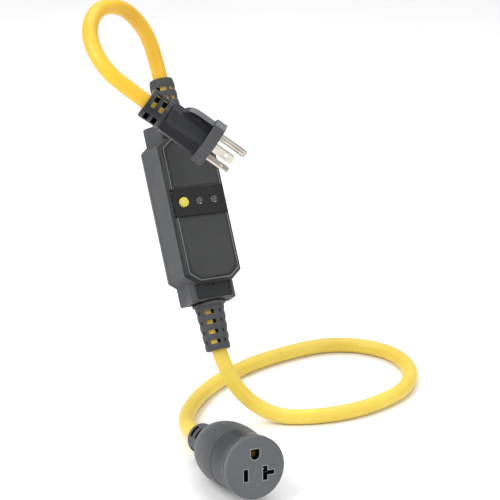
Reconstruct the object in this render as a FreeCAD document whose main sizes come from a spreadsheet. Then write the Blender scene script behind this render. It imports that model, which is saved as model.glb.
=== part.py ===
"""In-line ground-fault cord set: moulded plug, protection module, moulded connector and two yellow cords.

All lengths are in millimetres. The row frame has +Z up and the floor at Z = 0; its origin is the middle
of the footprint of plug, module and connector.

Local frames of the three housings:
  module     X across the face, Y along the cord axis towards the plug's cord, Z out of the label face
  plug       Z along the cord axis towards the blades, Y towards the ground pin, origin in the blade face
  connector  Z along the cord axis out of the face, Y towards the ground slot, origin in the face
"""

import FreeCAD, Part
import math
import os
import PartDesign
import Sketcher

Vector = FreeCAD.Vector
Rotation = FreeCAD.Rotation
Placement = FreeCAD.Placement

doc = FreeCAD.newDocument("cord_set")

# ---------------------------------------------------------------- driving dimensions
DIMENSIONS = {
    # cord
    "cord_diameter": 10.0,
    "bore_clearance": 0.25,
    "cord_entry": 12.0,
    # module shell
    "module_half_width": 22.5,
    "module_half_length": 60.0,
    "body_bottom": 49.2,
    "body_top": 50.0,
    "body_corner_x": 7.5,
    "body_corner_y": 5.5,
    "neck_half_width": 18.0,
    "neck_half_face": 15.5,
    "back_depth": 11.0,
    "seam_height": -4.0,
    "bevel_height": 13.5,
    "face_height": 16.0,
    "neck_height": 10.5,
    "neck_back_step": 2.0,
    "plate_half_width": 18.7,
    "bevel_inset": 1.6,
    "draft_inset": 1.2,
    "wall": 2.2,
    "shell_round": 3.0,
    "gasket_width": 1.0,
    "gasket_height": 0.8,
    # screws
    "screw_x": 14.4,
    "screw_y": 38.0,
    "screw_radius": 1.5,
    "screw_head_radius": 2.8,
    "screw_head_height": 1.8,
    "screw_length": 14.0,
    "boss_radius": 3.2,
    # button panel and its parts
    "panel_y": 5.0,
    "panel_half_height": 9.45,
    "panel_half_width": 19.6,
    "panel_thickness": 1.0,
    "button_x": -12.4,
    "button_radius": 3.25,
    "button_travel": 1.5,
    "button_proud": 1.8,
    "fault_lens_x": -0.2,
    "load_lens_x": 10.8,
    "lens_radius": 2.7,
    "label_thickness": 0.3,
    "label_gap": 1.2,
    # circuit board and what it carries
    "board_thickness": 1.6,
    "board_half_width": 16.0,
    "board_half_length": 41.0,
    "board_height": 4.8,
    "core_radius": 6.6,
    "core_bore": 3.6,
    "terminal_pitch": 7.5,
    "terminal_half": 2.9,
    # strain reliefs of the module
    "relief_length": 31.2,
    "relief_root_radius": 9.6,
    "relief_tip_radius": 7.9,
    "relief_flange_radius": 11.0,
    "relief_flange_height": 2.0,
    # plug
    "flange_depth": 7.6,
    "flange_half_width": 14.5,
    "flange_top": 17.0,
    "flange_top_half": 4.2,
    "flange_side_top": 9.6,
    "flange_side_bottom": 7.4,
    "flange_bottom": 9.8,
    "flange_bottom_half": 11.0,
    "plug_length": 50.1,
    "plug_relief_length": 15.6,
    "plug_relief_radius": 10.1,
    "ridge_half_width": 3.5,
    "blade_line": -2.0,
    "ground_line": 9.9,
    "hot_x": 6.35,
    "neutral_x": -8.73,
    "blade_length": 15.9,
    "blade_width": 6.35,
    "blade_thickness": 1.52,
    "blade_root": 7.0,
    "ground_radius": 2.375,
    "ground_length": 20.0,
    "ground_root": 14.0,
    # connector
    "connector_length": 77.0,
    "face_radius": 19.4,
    "barrel_length": 23.0,
    "collar_length": 36.5,
    "collar_tail_radius": 12.0,
    "connector_relief_radius": 9.8,
    "face_thickness": 4.0,
    "slot_span": 6.35,
    "slot_drop": 4.0,
    "ground_slot_rise": 7.9,
}

sheet = doc.addObject("Spreadsheet::Sheet", "Dims")
for row, (alias, number) in enumerate(DIMENSIONS.items(), start=1):
    sheet.set("A%d" % row, alias)
    sheet.set("B%d" % row, str(number))
    sheet.setAlias("B%d" % row, alias)
doc.recompute()


class Size:
    """A length that knows its number and the sheet expression that gives it."""

    def __init__(self, value, text):
        self.value = value
        self.text = text

    def __add__(self, other):
        other = as_size(other)
        return Size(self.value + other.value, "(%s + %s)" % (self.text, other.text))

    def __sub__(self, other):
        other = as_size(other)
        return Size(self.value - other.value, "(%s - %s)" % (self.text, other.text))

    def __mul__(self, factor):
        return Size(self.value * factor, "(%s * %s)" % (self.text, factor))

    def __neg__(self):
        return Size(-self.value, "(-1 * %s)" % self.text)


def as_size(number):
    return number if isinstance(number, Size) else Size(float(number), repr(float(number)))


def dim(alias):
    return Size(float(getattr(sheet, alias)), "Dims.%s" % alias)


def bind(thing, **sizes):
    """Bind each named property to the sheet."""
    for name, size in sizes.items():
        size = as_size(size)
        setattr(thing, name, size.value)
        thing.setExpression(name, size.text)


# ---------------------------------------------------------------- where the three housings lie
MODULE_AT = Placement(Vector(-13.6, 59.6, 126.5), Rotation(32.35, 5.38, 58.58))
PLUG_AT = Placement(Vector(2.1, 30.6, 182.2), Rotation(79.16, -5.72, 125.20))
CONNECTOR_AT = Placement(Vector(29.3, -101.6, 27.6), Rotation(26.1, 4.52, 78.09))

parts = []


def keep(piece, name, where):
    """Name a finished sub-part and put it in its housing's place."""
    if piece.ExpressionEngine:
        piece = group(piece)
    piece.Label = name
    piece.Placement = where
    parts.append(piece)
    return piece


# ---------------------------------------------------------------- building blocks
def primitive(kind, at=(0, 0, 0), turn=None, **sizes):
    thing = doc.addObject("Part::" + kind, kind.lower())
    bind(thing, **sizes)
    thing.Placement = Placement(Vector(0, 0, 0), turn or Rotation())
    for axis, place in zip("xyz", at):
        place = as_size(place)
        setattr(thing.Placement.Base, axis, place.value)
        thing.setExpression("Placement.Base." + axis, place.text)
    return thing


def block(low, high):
    """A box between two corners given as sizes."""
    low = [as_size(value) for value in low]
    high = [as_size(value) for value in high]
    span = [top - bottom for top, bottom in zip(high, low)]
    return primitive("Box", low, Length=span[0], Width=span[1], Height=span[2])


def rod(radius, length, at=(0, 0, 0), turn=None):
    return primitive("Cylinder", at, turn, Radius=radius, Height=length)


def fuse(*pieces):
    joined = doc.addObject("Part::MultiFuse", "fuse")
    joined.Shapes = list(pieces)
    return joined


def cut(base, *tools):
    result = doc.addObject("Part::Cut", "cut")
    result.Base = base
    result.Tool = tools[0] if len(tools) == 1 else fuse(*tools)
    return result


def group(*pieces):
    """Several separate solids that share one node."""
    bundle = doc.addObject("Part::Compound", "group")
    bundle.Links = list(pieces)
    return bundle


def base_plane(body, role):
    return next(item for item in body.Origin.OriginFeatures if item.Role == role)


def polygon_sketch(body, corners, height=0, role="XY_Plane"):
    """A closed outline whose corners are tied to the sheet."""
    sketch = body.newObject("Sketcher::SketchObject", "outline")
    sketch.AttachmentSupport = [(base_plane(body, role), "")]
    sketch.MapMode = "FlatFace"
    height = as_size(height)
    sketch.AttachmentOffset.Base.z = height.value
    sketch.setExpression("AttachmentOffset.Base.z", height.text)
    corners = [(as_size(x), as_size(y)) for x, y in corners]
    points = [Vector(x.value, y.value, 0) for x, y in corners]
    count = len(points)
    for index in range(count):
        sketch.addGeometry(Part.LineSegment(points[index], points[(index + 1) % count]), False)
    for index in range(count):
        sketch.addConstraint(Sketcher.Constraint("Coincident", index, 2, (index + 1) % count, 1))
    for index, (x, y) in enumerate(corners):
        for kind, place in (("DistanceX", x), ("DistanceY", y)):
            if abs(place.value) < 1e-9:
                axis = -2 if kind == "DistanceX" else -1
                sketch.addConstraint(Sketcher.Constraint("PointOnObject", index, 1, axis))
                continue
            number = sketch.addConstraint(Sketcher.Constraint(kind, -1, 1, index, 1, place.value))
            sketch.setExpression("Constraints[%d]" % number, place.text)
    return sketch


def new_body():
    return doc.addObject("PartDesign::Body", "body")


def pad(body, sketch, length, reverse=False):
    feature = body.newObject("PartDesign::Pad", "pad")
    feature.Profile = sketch
    bind(feature, Length=length)
    feature.Reversed = reverse
    return feature


def pocket(body, sketch, length, reverse=False):
    feature = body.newObject("PartDesign::Pocket", "pocket")
    feature.Profile = sketch
    bind(feature, Length=length)
    feature.Reversed = reverse
    return feature


def loft(body, *sketches):
    feature = body.newObject("PartDesign::AdditiveLoft", "loft")
    feature.Profile = sketches[0]
    feature.Sections = list(sketches[1:])
    feature.Ruled = True
    return feature


def cut_loft(body, *sketches):
    feature = body.newObject("PartDesign::SubtractiveLoft", "hollow")
    feature.Profile = sketches[0]
    feature.Sections = list(sketches[1:])
    feature.Ruled = True
    return feature


def round_hole(body, radius, length, height, role, reverse=False):
    """A round pocket whose axis passes through the local origin."""
    sketch = body.newObject("Sketcher::SketchObject", "circle")
    sketch.AttachmentSupport = [(base_plane(body, role), "")]
    sketch.MapMode = "FlatFace"
    height = as_size(height)
    sketch.AttachmentOffset.Base.z = height.value
    sketch.setExpression("AttachmentOffset.Base.z", height.text)
    radius = as_size(radius)
    sketch.addGeometry(Part.Circle(Vector(0, 0, 0), Vector(0, 0, 1), radius.value), False)
    sketch.addConstraint(Sketcher.Constraint("Coincident", 0, 3, -1, 1))
    number = sketch.addConstraint(Sketcher.Constraint("Radius", 0, radius.value))
    sketch.setExpression("Constraints[%d]" % number, radius.text)
    return pocket(body, sketch, length, reverse)


def revolved(profile):
    """A solid of revolution about local Z from (radius, height) corners."""
    body = new_body()
    sketch = polygon_sketch(body, profile, role="XZ_Plane")
    feature = body.newObject("PartDesign::Revolution", "turned")
    feature.Profile = sketch
    feature.ReferenceAxis = (sketch, ["V_Axis"])
    feature.Angle = 360.0
    return body


# ---------------------------------------------------------------- shared sizes
cord_radius = dim("cord_diameter") * 0.5
bore = cord_radius + dim("bore_clearance")
wall = dim("wall")
half_width = dim("module_half_width")
half_length = dim("module_half_length")
seam = dim("seam_height")
face = dim("face_height")
back = dim("back_depth")


def octagon(half_x, top, bottom, corner_x, corner_y):
    """Eight corners of an oblong with cut corners."""
    return [
        (half_x, top - corner_y), (half_x - corner_x, top),
        (-(half_x - corner_x), top), (-half_x, top - corner_y),
        (-half_x, -(bottom - corner_y)), (-(half_x - corner_x), -bottom),
        (half_x - corner_x, -bottom), (half_x, -(bottom - corner_y)),
    ]


def body_outline(inset):
    """The main shell's outline, drawn in from the seam's outline."""
    inset = as_size(inset)
    return octagon(
        half_width - inset, dim("body_top") - inset, dim("body_bottom") - inset,
        dim("body_corner_x"), dim("body_corner_y"),
    )


def neck_outline(half_x, end, start):
    """One neck, from inside the main shell to its end."""
    return [(half_x, start), (half_x, end), (-half_x, end), (-half_x, start)]


def necks(half_x, inset=0.0):
    """Outlines of the two necks."""
    end = half_length - inset
    return [
        neck_outline(half_x, end, dim("body_top") - 6.0),
        neck_outline(half_x, -end, -(dim("body_bottom") - 6.0)),
    ]


# ---------------------------------------------------------------- module shells
def rear_housing():
    body = new_body()
    lowest = -back
    tub = pad(body, polygon_sketch(body, body_outline(0.0), lowest), back + seam)
    doc.recompute()
    edges = [
        "Edge%d" % (number + 1)
        for number, edge in enumerate(tub.Shape.Edges)
        if max(abs(vertex.Z + back.value) for vertex in edge.Vertexes) < 1e-6
    ]
    rim = body.newObject("PartDesign::Fillet", "back_round")
    rim.Base = (tub, edges)
    bind(rim, Radius=dim("shell_round"))
    neck_floor = lowest + dim("neck_back_step")
    for outline in necks(dim("neck_half_width")):
        pad(body, polygon_sketch(body, outline, neck_floor), back + seam - dim("neck_back_step"))
    hollow = polygon_sketch(body, body_outline(wall), seam)
    pocket(body, hollow, back + seam - wall)
    for outline in necks(dim("neck_half_width") - wall, wall):
        pocket(body, polygon_sketch(body, outline, seam), back + seam - dim("neck_back_step") - wall)
    round_hole(body, dim("relief_root_radius") - 2.0, half_length * 2.0 + 2.0, half_length + 1.0, "XZ_Plane")
    return body


def bosses(low, high):
    """Four screw posts."""
    return [
        rod(dim("boss_radius"), high - low, (dim("screw_x") * sx, dim("screw_y") * sy, low))
        for sx in (-1, 1)
        for sy in (-1, 1)
    ]


def screw_holes(radius, low, length):
    return [
        rod(radius, length, (dim("screw_x") * sx, dim("screw_y") * sy, low))
        for sx in (-1, 1)
        for sy in (-1, 1)
    ]


def finished_rear_housing():
    posts_top = seam - 2.0
    shell = fuse(rear_housing(), *bosses(-(back - wall * 0.5), posts_top))
    bored = cut(
        shell,
        *screw_holes(dim("screw_radius") + 0.15, -back - 1.0, back + 3.0),
        *screw_holes(dim("screw_head_radius") + 0.2, -back - 1.0, dim("screw_head_height") + 1.2),
    )
    return bored


def front_cover():
    body = new_body()
    level = dim("bevel_height")
    inset = dim("draft_inset")
    loft(
        body,
        polygon_sketch(body, body_outline(0.0), seam),
        polygon_sketch(body, body_outline(inset), level),
        polygon_sketch(body, body_outline(inset + dim("bevel_inset")), face),
    )
    for wide, narrow in zip(necks(dim("neck_half_width")), necks(dim("neck_half_face"), 0.6)):
        loft(body, polygon_sketch(body, wide, seam), polygon_sketch(body, narrow, dim("neck_height")))
    inner = inset + wall
    cut_loft(
        body,
        polygon_sketch(body, body_outline(wall), seam),
        polygon_sketch(body, body_outline(inner + 0.8), face - wall),
    )
    for wide, narrow in zip(
        necks(dim("neck_half_width") - wall, wall), necks(dim("neck_half_face") - wall, wall + 0.6)
    ):
        cut_loft(
            body,
            polygon_sketch(body, wide, seam),
            polygon_sketch(body, narrow, dim("neck_height") - wall),
        )
    round_hole(body, dim("relief_root_radius") - 2.0, half_length * 2.0 + 2.0, half_length + 1.0, "XZ_Plane")
    return body


panel_y = dim("panel_y")
panel_floor = face - 0.4
BUTTON_HOLE = dim("button_radius") + 0.35
LIP_WIDTH = 0.7
LIP_DEPTH = 1.9


def finished_front_cover():
    """The cover with its panel seat, its button and lens holes, and its screw posts."""
    panel_half = dim("panel_half_height")
    seat = block(
        (-half_width, panel_y - panel_half, panel_floor), (half_width, panel_y + panel_half, face + 2.0)
    )
    near = dim("panel_half_width") - LIP_WIDTH - 0.15
    far = dim("panel_half_width") + 0.15
    low = panel_y - panel_half
    high = panel_y + panel_half
    side_seats = [
        block((near, low, face - LIP_DEPTH - 0.1), (far, high, face + 2.0)),
        block((-far, low, face - LIP_DEPTH - 0.1), (-near, high, face + 2.0)),
    ]
    holes = [rod(BUTTON_HOLE, 8.0, (dim("button_x"), panel_y, face - 5.0))]
    for lens_x in ("fault_lens_x", "load_lens_x"):
        holes.append(rod(dim("lens_radius") - 0.6, 8.0, (dim(lens_x), panel_y, face - 5.0)))
    shell = fuse(front_cover(), *bosses(seam - 1.6, face - wall * 0.5))
    pilot = screw_holes(dim("screw_radius") + 0.05, seam - 3.0, 12.5)
    return cut(shell, seat, *side_seats, *holes, *pilot)


def gasket():
    """A cord seal in the joint between the two shells."""
    outer = new_body()
    low = seam - dim("gasket_height")
    pad(outer, polygon_sketch(outer, body_outline(wall + 0.2), low), dim("gasket_height"))
    inner = new_body()
    pad(
        inner,
        polygon_sketch(inner, body_outline(wall + 0.2 + dim("gasket_width")), low - 1.0),
        dim("gasket_height") + 2.0,
    )
    mouth = block(
        (-(dim("neck_half_width") - wall + 0.2), -(half_length + 1.0), low - 1.0),
        (dim("neck_half_width") - wall + 0.2, half_length + 1.0, seam + 1.0),
    )
    return cut(outer, inner, mouth)


def screws():
    low = -back + 0.2
    made = []
    for sx in (-1, 1):
        for sy in (-1, 1):
            x = dim("screw_x") * sx
            y = dim("screw_y") * sy
            head = rod(dim("screw_head_radius"), dim("screw_head_height"), (x, y, low))
            shank = rod(dim("screw_radius"), dim("screw_length"), (x, y, low + 0.5))
            recess = rod(1.1, 1.0, (x, y, low - 0.2))
            made.append(cut(fuse(head, shank), recess))
    return group(*made)


def label(low_y, high_y):
    """A thin label between two heights of the face."""
    half = dim("plate_half_width") - dim("bevel_inset") - dim("label_gap")
    return block((-half, low_y, face), (half, high_y, face + dim("label_thickness")))


def button_panel():
    """The black panel across the face, with a lip let into the face near each side."""
    half = dim("panel_half_height") - 0.15
    half_x = dim("panel_half_width")
    top = face + dim("panel_thickness")
    plate = block((-half_x, panel_y - half, panel_floor), (half_x, panel_y + half, top))
    lips = [
        block((half_x - LIP_WIDTH, panel_y - half, face - LIP_DEPTH), (half_x, panel_y + half, top)),
        block((-half_x, panel_y - half, face - LIP_DEPTH), (-(half_x - LIP_WIDTH), panel_y + half, top)),
    ]
    holes = [rod(BUTTON_HOLE, 8.0, (dim("button_x"), panel_y, face - 5.0))]
    for lens_x in ("fault_lens_x", "load_lens_x"):
        holes.append(rod(dim("lens_radius") + 0.05, 3.0, (dim(lens_x), panel_y, panel_floor)))
    return cut(fuse(plate, *lips), *holes)


def button():
    """The test and reset button: cap, collar and stem in one moulding."""
    top = face + dim("panel_thickness") + dim("button_proud")
    cap = rod(dim("button_radius"), top - face + 1.2, (dim("button_x"), panel_y, face - 1.2))
    stem = rod(1.6, 4.0, (dim("button_x"), panel_y, face - 5.0))
    return fuse(cap, stem)


def button_seal():
    """A rubber ring under the cover that keeps water off the button's stem."""
    ring = rod(4.6, 1.0, (dim("button_x"), panel_y, face - wall - 1.1))
    bore_hole = rod(3.85, 2.0, (dim("button_x"), panel_y, face - wall - 1.6))
    return cut(ring, bore_hole)


def lens(x):
    dome = rod(dim("lens_radius"), dim("panel_thickness") + 0.5, (x, panel_y, panel_floor))
    pipe = rod(dim("lens_radius") - 0.75, 2.6, (x, panel_y, panel_floor - 2.4))
    return fuse(dome, pipe)


board_top = dim("board_height") + dim("board_thickness")


def light(x):
    """A light-emitting diode under its lens."""
    return rod(1.5, face - 3.4 - board_top - 1.0, (x, panel_y, board_top))


def circuit_board():
    plate = block(
        (-dim("board_half_width"), -dim("board_half_length"), dim("board_height")),
        (dim("board_half_width"), dim("board_half_length"), board_top),
    )
    notches = screw_holes(dim("boss_radius") + 0.5, dim("board_height") - 1.0, 4.0)
    return cut(plate, *notches)


def tact_switch():
    low = board_top
    case = block(
        (dim("button_x") - 3.0, panel_y - 3.0, low), (dim("button_x") + 3.0, panel_y + 3.0, low + 3.4)
    )
    well = rod(1.85, 3.0, (dim("button_x"), panel_y, low + 1.2))
    return cut(case, well)


def switch_plunger():
    """The switch's plunger, which the stem of the button presses."""
    low = board_top + 2.9
    return rod(1.75, face - 5.0 - low - 0.05, (dim("button_x"), panel_y, low))


CORE_HEIGHT = -2.0
LEAD_RADIUS = 1.4
ALONG_CORD = Rotation(Vector(1, 0, 0), 90)


def toroid(top_y, thickness):
    """A ring core round the line conductors, its axis along the cord."""
    ring = rod(dim("core_radius"), thickness, (0, top_y, CORE_HEIGHT), ALONG_CORD)
    hole = rod(dim("core_bore"), thickness + 2.0, (0, top_y + 1.0, CORE_HEIGHT), ALONG_CORD)
    return cut(ring, hole)


def relay():
    low = -back + wall + 0.4
    return block((-9.0, 8.0, low), (9.0, 30.0, dim("board_height") - 0.05))


def varistor():
    return rod(3.1, 3.2, (9.0, -26.0, board_top + 3.3), ALONG_CORD)


def film_capacitor():
    return block((2.0, 20.0, board_top), (13.0, 27.0, board_top + 6.6))


TERMINAL_LINE = 36.5
TERMINAL_HEIGHT = 1.0


def terminals(way):
    """Three terminals in a row behind the board, their mouths towards the neck (way is 1 or -1 along Y)."""
    blocks = []
    y = TERMINAL_LINE * way
    half = dim("terminal_half")
    for column in (-1, 0, 1):
        x = dim("terminal_pitch") * column
        case = block((x - half, y - 3.5, -2.0), (x + half, y + 3.5, dim("board_height") - 0.05))
        well = rod(1.7, 5.0, (x, y + 4.5 * way, TERMINAL_HEIGHT), Rotation(Vector(1, 0, 0), 90 * way))
        blocks.append(cut(case, well))
    return group(*blocks)


# ---------------------------------------------------------------- tubes along a route
def rounded_path(points):
    """Straight runs joined by tangent arcs, and the arc radii."""
    corners = [Vector(*point) for point in points]
    edges = []
    radii = []
    start = corners[0]
    for before, corner, after in zip(corners, corners[1:], corners[2:]):
        arrive = (corner - before).normalize()
        leave = (after - corner).normalize()
        turn = arrive.getAngle(leave)
        trim = 0.45 * min(before.distanceToPoint(corner), corner.distanceToPoint(after))
        radii.append(trim / math.tan(turn / 2.0))
        arc_start = corner - arrive * trim
        arc_end = corner + leave * trim
        inward = (leave - arrive).normalize()
        sagitta = trim * math.cos(turn / 2.0) * math.tan(turn / 4.0)
        middle = (arc_start + arc_end) * 0.5 - inward * sagitta
        edges.append(Part.LineSegment(start, arc_start).toShape())
        edges.append(Part.Arc(arc_start, middle, arc_end).toShape())
        start = arc_end
    edges.append(Part.LineSegment(start, corners[-1]).toShape())
    return Part.Wire(edges), radii


def tube(points, radius, report=""):
    """A round tube swept along a rounded path."""
    wire, radii = rounded_path(points)
    path = doc.addObject("Part::Feature", "path")
    path.Shape = wire
    section = doc.addObject("Part::Circle", "section")
    bind(section, Radius=radius)
    along = Vector(*points[1]) - Vector(*points[0])
    section.Placement = Placement(Vector(*points[0]), Rotation(Vector(0, 0, 1), along))
    sweep = doc.addObject("Part::Sweep", "tube")
    sweep.Sections = [section]
    sweep.Spine = (path, ["Edge%d" % (number + 1) for number in range(len(wire.Edges))])
    sweep.Solid = True
    sweep.Frenet = False
    if report:
        doc.recompute()
        expected = math.pi * as_size(radius).value ** 2 * wire.Length
        print("%s length %.1f, arc radii %s" % (report, wire.Length, [round(value, 1) for value in radii]))
        print("%s volume over section times length %.5f" % (report, sweep.Shape.Volume / expected))
    return sweep


def leads(way):
    """Three cores fanning from the jacket's end to the terminals."""
    cores = []
    for column in (-1, 0, 1):
        x = column * dim("terminal_pitch").value
        z = 1.8 if column == 0 else -1.2
        cores.append(tube(
            [
                (column * 1.9, 51.2 * way, z), (column * 3.4, 47.6 * way, 0.6 * z),
                (x, 44.2 * way, TERMINAL_HEIGHT), (x, 37.5 * way, TERMINAL_HEIGHT),
            ],
            LEAD_RADIUS,
        ))
    return group(*cores)


def sensed_conductors():
    """Line and neutral from the relay through both ring cores to the output terminals."""
    return group(*[
        tube(
            [
                (side * 1.6, 7.9, CORE_HEIGHT), (side * 1.6, -20.5, CORE_HEIGHT),
                (side * 5.6, -26.5, -0.8), (side * 7.5, -32.2, 0.6),
            ],
            LEAD_RADIUS,
        )
        for side in (-1, 1)
    ])


# ---------------------------------------------------------------- strain reliefs
def slots(count, pitch, first, width, height, reach, radius, angles):
    """Rows of window boxes round local Z, for cutting through a strain relief's wall."""
    made = []
    for index in range(count):
        low = first + pitch * index - height / 2
        for angle in angles:
            turn = Rotation(Vector(0, 0, 1), angle)
            corner = turn.multVec(Vector(-width / 2, radius, 0))
            made.append(primitive(
                "Box", (corner.x, corner.y, low), turn, Length=width, Width=reach, Height=height
            ))
    return made


WINDOW_FLOOR = cord_radius.value - 1.0
RELIEF_ROWS = 4
RELIEF_PITCH = 6.5
RELIEF_FIRST = 6.3
RELIEF_COLUMN = 36.0


def strain_relief(column):
    """A tapered moulded relief; local Z runs to its tip, and column is the angle of its front windows."""
    length = dim("relief_length")
    root = dim("relief_root_radius")
    tip = dim("relief_tip_radius")
    flange = dim("relief_flange_radius")
    turned = revolved([
        (bore, -5.0), (root - 2.3, -5.0), (root - 2.3, 0.15), (flange, 0.15),
        (flange, dim("relief_flange_height")), (root, dim("relief_flange_height")), (tip, length), (bore, length),
    ])
    wide = slots(
        RELIEF_ROWS, RELIEF_PITCH, RELIEF_FIRST, 6.6, 2.7, 8.0, WINDOW_FLOOR, (column, column + 180.0)
    )
    narrow = slots(
        RELIEF_ROWS, RELIEF_PITCH, RELIEF_FIRST, 2.6, 2.7, 8.0, WINDOW_FLOOR,
        (column + 48.0, column + 228.0, column - 48.0, column + 132.0),
    )
    return cut(turned, *wide, *narrow)


def cord_stub(length, low):
    """The jacketed end of a cord inside its strain relief."""
    return rod(cord_radius, length, (0, 0, low))


# ---------------------------------------------------------------- plug
def flange_outline(inset=0.0):
    side = dim("flange_half_width") - inset
    return [
        (side, dim("flange_side_top") - inset * 0.4), (dim("flange_top_half"), dim("flange_top") - inset),
        (-dim("flange_top_half"), dim("flange_top") - inset), (-side, dim("flange_side_top") - inset * 0.4),
        (-side, -(dim("flange_side_bottom") - inset * 0.3)),
        (-(dim("flange_bottom_half") - inset * 0.4), -(dim("flange_bottom") - inset)),
        (dim("flange_bottom_half") - inset * 0.4, -(dim("flange_bottom") - inset)),
        (side, -(dim("flange_side_bottom") - inset * 0.3)),
    ]


def grip_outline(half, side_top, top_half, top, side_bottom, bottom_half, bottom):
    """A section across the grip: flat sides, a narrower top and a narrower bottom."""
    return [
        (half, side_top), (top_half, top), (-top_half, top), (-half, side_top),
        (-half, -side_bottom), (-bottom_half, -bottom), (bottom_half, -bottom), (half, -side_bottom),
    ]


def plug_body():
    """Grip and flange of the plug, with a raised ridge behind the ground pin."""
    body = new_body()
    flange_back = -dim("flange_depth")
    shoulder = -(dim("plug_length") - dim("plug_relief_length"))
    pad(body, polygon_sketch(body, flange_outline(), flange_back), dim("flange_depth"))
    loft(
        body,
        polygon_sketch(body, grip_outline(11.6, 6.4, 4.5, 9.8, 4.8, 8.4, 7.6), flange_back + 0.5),
        polygon_sketch(body, grip_outline(10.2, 5.5, 4.8, 9.6, 5.1, 7.0, 8.2), shoulder),
    )
    ridge_half = dim("ridge_half_width")
    side_view = [(4.0, -29.0), (9.0, -29.0), (13.0, -25.5), (15.0, -22.0), (15.2, -7.0), (4.0, -7.0)]
    pad(body, polygon_sketch(body, side_view, -ridge_half, "YZ_Plane"), ridge_half * 2.0)
    round_hole(body, bore, 3.0, shoulder, "XY_Plane", True)
    return body


PIN_NECK = 0.5
PIN_STEP = 0.3


def finished_plug_body():
    scallops = [
        primitive("Ellipsoid", (side * 5.5, 12.2, -17.0), Radius1=11.5, Radius2=3.0, Radius3=2.6)
        for side in (-1, 1)
    ]
    slots_for_metal = [
        blade_box(dim("hot_x"), True, -dim("blade_root"), 1.0, 0.0),
        blade_box(dim("neutral_x"), False, -dim("blade_root"), 1.0, 0.0),
        rod(dim("ground_radius") - PIN_STEP, dim("ground_root") + 1.0, (0, dim("ground_line"), -dim("ground_root"))),
    ]
    return cut(plug_body(), *scallops, *slots_for_metal)


def blade_box(x, upright, low, high, slack):
    """A flat blade's box, from one height to another."""
    half_wide = dim("blade_width") * 0.5 + slack
    half_thick = dim("blade_thickness") * 0.5 + slack
    half_x, half_y = (half_thick, half_wide) if upright else (half_wide, half_thick)
    line = dim("blade_line")
    return block((x - half_x, line - half_y, low), (x + half_x, line + half_y, high))


def blade(x, upright):
    """A blade with its tip hole."""
    flat = blade_box(x, upright, -dim("blade_root"), dim("blade_length"), 0.0)
    turn = Rotation(Vector(0, 1, 0), 90) if upright else Rotation(Vector(1, 0, 0), 90)
    start = (x - 2.0, dim("blade_line"), dim("blade_length") - 5.2)
    if not upright:
        start = (x, dim("blade_line") + 2.0, dim("blade_length") - 5.2)
    return cut(flat, rod(1.6, 4.0, start, turn))


def ground_pin():
    """The round ground pin: domed tip, and a thinner root moulded into the plug."""
    line = dim("ground_line")
    radius = dim("ground_radius")
    shoulder = dim("ground_length") - radius
    shaft = rod(radius, shoulder - PIN_NECK, (0, line, PIN_NECK))
    root = rod(radius - PIN_STEP, dim("ground_root") + PIN_NECK + 1.0, (0, line, -dim("ground_root")))
    tip = primitive("Sphere", (0, line, shoulder), Radius=radius)
    return fuse(shaft, root, tip)


def plug_relief():
    """The windowed strain relief at the plug's rear; local Z runs towards the blades."""
    shoulder = -(dim("plug_length") - dim("plug_relief_length")) - 0.01
    rear = -dim("plug_length")
    radius = dim("plug_relief_radius")
    turned = revolved([(bore, rear), (radius, rear), (radius - 0.3, shoulder), (bore, shoulder)])
    first = rear.value + 4.5
    wide = slots(2, 5.6, first, 12.0, 3.1, 8.0, WINDOW_FLOOR, (46.0, -46.0))
    square = slots(2, 5.6, first, 6.0, 3.1, 8.0, WINDOW_FLOOR, (112.0, -112.0))
    return cut(turned, *wide, *square)


# ---------------------------------------------------------------- connector
def connector_body():
    """Barrel of the connector, hollow behind its face for the contacts."""
    back_of_barrel = -dim("barrel_length")
    radius = dim("face_radius")
    return revolved([
        (0.0, back_of_barrel), (radius - 0.6, back_of_barrel), (radius - 1.0, back_of_barrel * 0.55),
        (radius, -dim("face_thickness")), (0.0, -dim("face_thickness")),
    ])


def connector_collar():
    """Rounded rear collar of the connector."""
    front = -dim("barrel_length") - 0.01
    end = -(dim("barrel_length") + dim("collar_length"))
    radius = dim("face_radius")
    tail = dim("collar_tail_radius")
    return revolved([
        (bore, front), (radius - 0.4, front), (radius + 0.2, front - 7.0), (radius + 0.1, front - 15.0),
        (radius - 1.1, front - 23.0), (tail + 3.5, end + 6.0), (tail, end + 1.0), (tail - 0.6, end), (bore, end),
    ])


def connector_relief():
    """Short slotted strain relief at the connector's rear."""
    front = -(dim("barrel_length") + dim("collar_length")) - 0.01
    rear = -dim("connector_length")
    radius = dim("connector_relief_radius")
    turned = revolved([
        (bore, rear), (radius - 0.8, rear), (radius, rear + 1.0), (radius - 0.2, front), (bore, front),
    ])
    windows = slots(
        2, 6.4, rear.value + 5.3, 7.6, 3.0, 8.0, WINDOW_FLOOR, (45.0, 135.0, 225.0, 315.0)
    )
    return cut(turned, *windows)


def ground_opening(half, top, low, high):
    """A ground slot: round below and flat on top."""
    rise = dim("ground_slot_rise")
    return fuse(rod(half, high - low, (0, rise, low)), block((-half, rise, low), (half, rise + top, high)))


def slot_cutters(low, high):
    """Openings for a 20 ampere plug: straight hot slot, T-shaped neutral slot and ground slot."""
    span = dim("slot_span")
    drop = dim("slot_drop")
    hot = block((-span - 1.4, -drop - 3.65, low), (-span + 1.4, -drop + 3.65, high))
    upright = block((span - 1.4, -drop - 4.25, low), (span + 1.4, -drop + 4.25, high))
    bar = block((span + 1.3, -drop - 1.2, low), (span + 6.05, -drop + 1.2, high))
    return [hot, fuse(upright, bar), ground_opening(2.85, 3.4, as_size(low), as_size(high))]


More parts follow.
